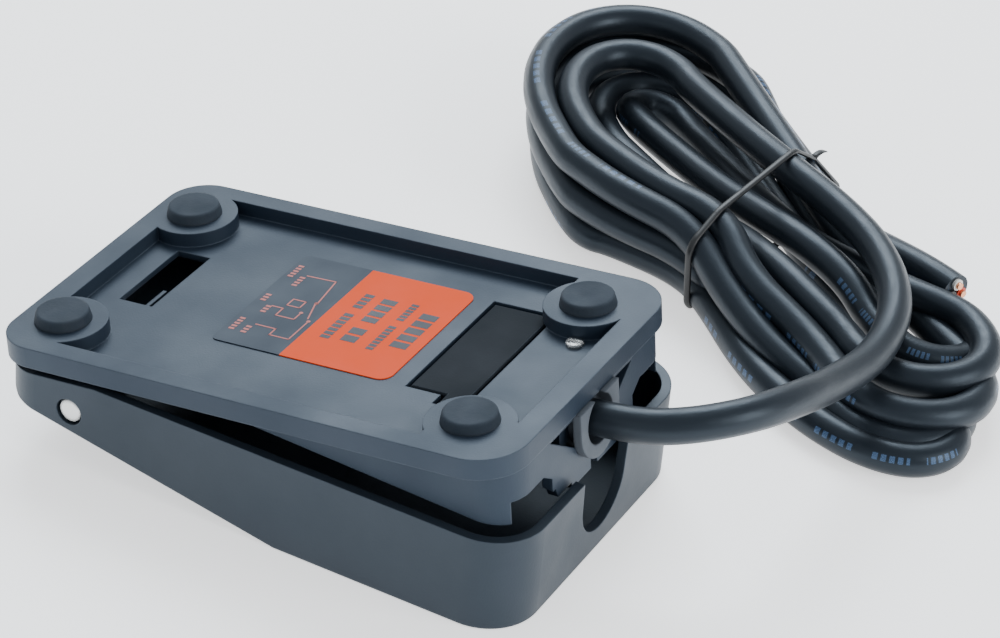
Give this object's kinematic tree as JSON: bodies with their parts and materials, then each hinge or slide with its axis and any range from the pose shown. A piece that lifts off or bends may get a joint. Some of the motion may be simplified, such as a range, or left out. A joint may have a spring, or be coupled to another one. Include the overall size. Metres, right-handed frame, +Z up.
{
  "type": "sewing machine pedal",
  "caption": "Flat black foot switch lying tread down: hinged pedal shell over a wedge base with rubber feet, snap switch inside and a lead tied in a hank.",
  "frame": {"origin": "centre of the footprint of the switch (without its lead) on the surface that it lies on, tread down", "axes": "+X along the switch from the hinge towards the lead, +Y across, +Z up from the tread towards the rubber feet"},
  "size_m": [0.1556, 0.1907, 0.0358],
  "materials": {
    "housing": "fine-grained satin black moulding",
    "tread": "satin black moulding",
    "foot_rubber": "matt black rubber",
    "cover": "smoother black moulding",
    "label": "orange printed film",
    "wiring_print": "dark film with thin red line drawing",
    "bushing": "grey-black soft moulding",
    "cord_jacket": "satin black cable jacket",
    "tie": "black nylon",
    "steel": "bright plated steel",
    "zinc": "zinc-plated steel",
    "brass": "plain brass",
    "switch_body": "black thermoset moulding",
    "core_white": "white insulation",
    "core_red": "red insulation",
    "core_black": "black insulation",
    "copper": "bare copper strands"
  },
  "bodies": {
    "base": {"base_housing": "housing", "foot_hinge_near": "foot_rubber", "foot_hinge_far": "foot_rubber", "foot_cord_near": "foot_rubber", "foot_cord_far": "foot_rubber", "access_cover": "cover", "rating_label": "label", "wiring_label": "wiring_print", "cable_bushing": "bushing", "cable_clamp": "switch_body", "clamp_screw": "steel", "cord_tail": "cord_jacket", "switch_case": "switch_body", "switch_cover": "switch_body", "terminal_common": "brass", "terminal_open": "brass", "terminal_closed": "brass", "switch_bolts": "zinc", "switch_nuts": "zinc", "switch_bracket": "zinc", "bracket_screws": "zinc", "wire_white": "core_white", "wire_red": "core_red", "wire_black": "core_black", "return_spring": "zinc", "cord_lead": "cord_jacket", "cord_hank": "cord_jacket", "cable_tie": "tie", "cord_end": "cord_jacket", "core_white": "core_white", "core_red": "core_red", "core_black": "core_black", "core_copper": "copper"},
    "pedal": {"pedal_cover": "tread", "hinge_pin": "steel"},
    "lever": {"switch_lever": "zinc"},
    "plunger": {"switch_plunger": "tread"}
  },
  "joints": [
    {"name": "pedal_hinge", "type": "hinge", "parent": "base", "child": "pedal", "pos_m": [-0.0359, 0, 0.0118], "axis": [0, -1, 0], "range_deg": [0, 8], "stiffness_Nm_per_rad": 2, "springref_deg": -17.19, "deforming": ["return_spring"]},
    {"name": "lever_hinge", "type": "hinge", "parent": "base", "child": "lever", "pos_m": [0.02767, -0.0059, 0.01357], "axis": [0.9903, 0, 0.1392], "range_deg": [0, 8]},
    {"name": "plunger_slide", "type": "slide", "parent": "base", "child": "plunger", "axis": [-0.1392, 0, 0.9903], "range_m": [0, 0.0005]}
  ],
  "couplings": [
    {"joint": "lever_hinge", "follows": "pedal_hinge", "ratio": 1},
    {"joint": "plunger_slide", "follows": "pedal_hinge", "m_per_rad": 0.003581}
  ]
}
